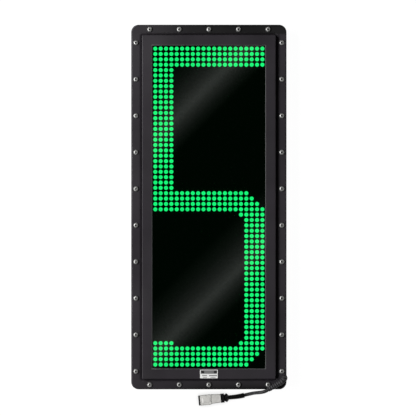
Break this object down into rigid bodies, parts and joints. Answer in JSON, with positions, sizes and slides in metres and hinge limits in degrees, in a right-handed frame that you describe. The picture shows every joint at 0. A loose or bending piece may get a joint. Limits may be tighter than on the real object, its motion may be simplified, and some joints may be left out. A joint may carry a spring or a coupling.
{
  "type": "vehicle id display",
  "caption": "Flat LED number display panel in a dark sealed housing with a raised bezel, smoked window and a short cable ending in a grey connector.",
  "frame": {"origin": "centre of the housing, on the back face of the pan that it lies on", "axes": "+Z out of the display face, +Y towards the top of the digit, +X to the digit's right"},
  "size_m": [0.2915, 0.712, 0.0433],
  "materials": {
    "housing": "fine matte texture",
    "pan": "fine matte texture",
    "gasket": "matte",
    "lens": "glossy smoked sheet",
    "lit_led": "glowing lens",
    "dark_led": "dark lens",
    "circuit_board": "satin solder mask",
    "chip": "matte",
    "ribbon": "satin",
    "terminal": "satin",
    "steel": "bright",
    "dark_steel": "darkened",
    "aluminium": "plain",
    "brass": "plain",
    "plate": "satin print",
    "cable": "satin",
    "black_plastic": "satin",
    "grey_plastic": "satin"
  },
  "bodies": {
    "root": {"back_pan": "pan", "pan_gasket": "gasket", "front_frame": "housing", "lens_seal": "gasket", "window_lens": "lens", "lens_retainers": "aluminium", "retainer_screws": "steel", "led_board_top": "circuit_board", "led_board_middle": "circuit_board", "led_board_bottom": "circuit_board", "lit_leds": "lit_led", "dark_leds": "dark_led", "board_screws": "dark_steel", "board_headers": "black_plastic", "ribbon_links": "ribbon", "controller_board": "circuit_board", "controller_chips": "chip", "controller_header": "black_plastic", "input_terminal": "terminal", "controller_screws": "steel", "power_converter": "black_plastic", "converter_screws": "steel", "supply_lead": "cable", "cover_screws": "steel", "cover_washers": "dark_steel", "cover_nuts": "steel", "mount_inserts": "brass", "rating_plate": "plate", "cable_gland": "black_plastic", "gland_nut": "black_plastic", "cable_guard": "cable", "signal_cable": "cable", "cable_sleeve": "black_plastic", "connector_nut": "black_plastic", "connector_backshell": "black_plastic", "connector_body": "grey_plastic", "connector_face": "black_plastic"}
  },
  "joints": []
}
